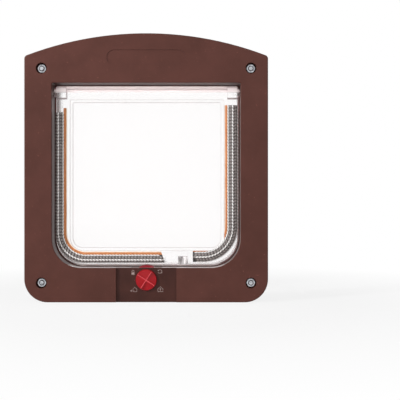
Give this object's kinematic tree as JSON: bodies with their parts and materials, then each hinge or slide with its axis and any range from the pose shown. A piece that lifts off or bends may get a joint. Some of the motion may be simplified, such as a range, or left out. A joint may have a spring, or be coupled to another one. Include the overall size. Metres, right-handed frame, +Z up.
{
  "type": "cat flap",
  "caption": "Cat flap for a door: arched brown frames on both faces, a clear swinging flap with a pile seal, and a red turning lock.",
  "frame": {"origin": "centre of the footprint, on the plane of the frames' lower edges", "axes": "+Z up, +Y through the door from the room side to the outside, +X to the right as seen from the room"},
  "size_m": [0.25, 0.0504, 0.276],
  "materials": {
    "brown_frame": "fine satin moulding, dark brown",
    "brown_cap": "satin, lighter brown",
    "clear_plastic": "clear, polished",
    "red_plastic": "satin red",
    "white_plastic": "natural white",
    "magnet": "nickel plated",
    "zinc": "bright zinc plate",
    "seal_tape": "orange foam tape",
    "seal_pile": "dark grey woven pile",
    "seal_fin": "light grey film"
  },
  "bodies": {
    "frame_body": {"interior_frame": "brown_frame", "exterior_frame": "brown_frame", "threshold_magnet": "magnet", "lock_cover": "brown_frame", "cover_screw_left": "zinc", "cover_screw_right": "zinc", "bolt_left_lower": "zinc", "bolt_left_upper": "zinc", "bolt_right_lower": "zinc", "bolt_right_upper": "zinc", "nut_left_lower": "zinc", "nut_left_upper": "zinc", "nut_right_lower": "zinc", "nut_right_upper": "zinc", "cap_left_lower": "brown_cap", "cap_left_upper": "brown_cap", "cap_right_lower": "brown_cap", "cap_right_upper": "brown_cap"},
    "flap_body": {"flap_panel": "clear_plastic", "flap_magnet": "magnet", "left_seal_tape": "seal_tape", "left_seal_pile": "seal_pile", "left_seal_fin": "seal_fin", "right_seal_tape": "seal_tape", "right_seal_pile": "seal_pile", "right_seal_fin": "seal_fin"},
    "lock_body": {"lock_dial": "red_plastic", "front_cam": "red_plastic", "rear_cam": "red_plastic", "cam_spacer": "white_plastic", "lock_screw": "zinc"}
  },
  "joints": [
    {"name": "flap_swing", "type": "hinge", "parent": "frame_body", "child": "flap_body", "pos_m": [0, -0.0083, 0.2163], "axis": [1, 0, 0], "range_deg": [-80, 80]},
    {"name": "lock_turn", "type": "hinge", "parent": "frame_body", "child": "lock_body", "pos_m": [0, -0.0128, 0.023], "axis": [0, 1, 0], "continuous": true}
  ]
}
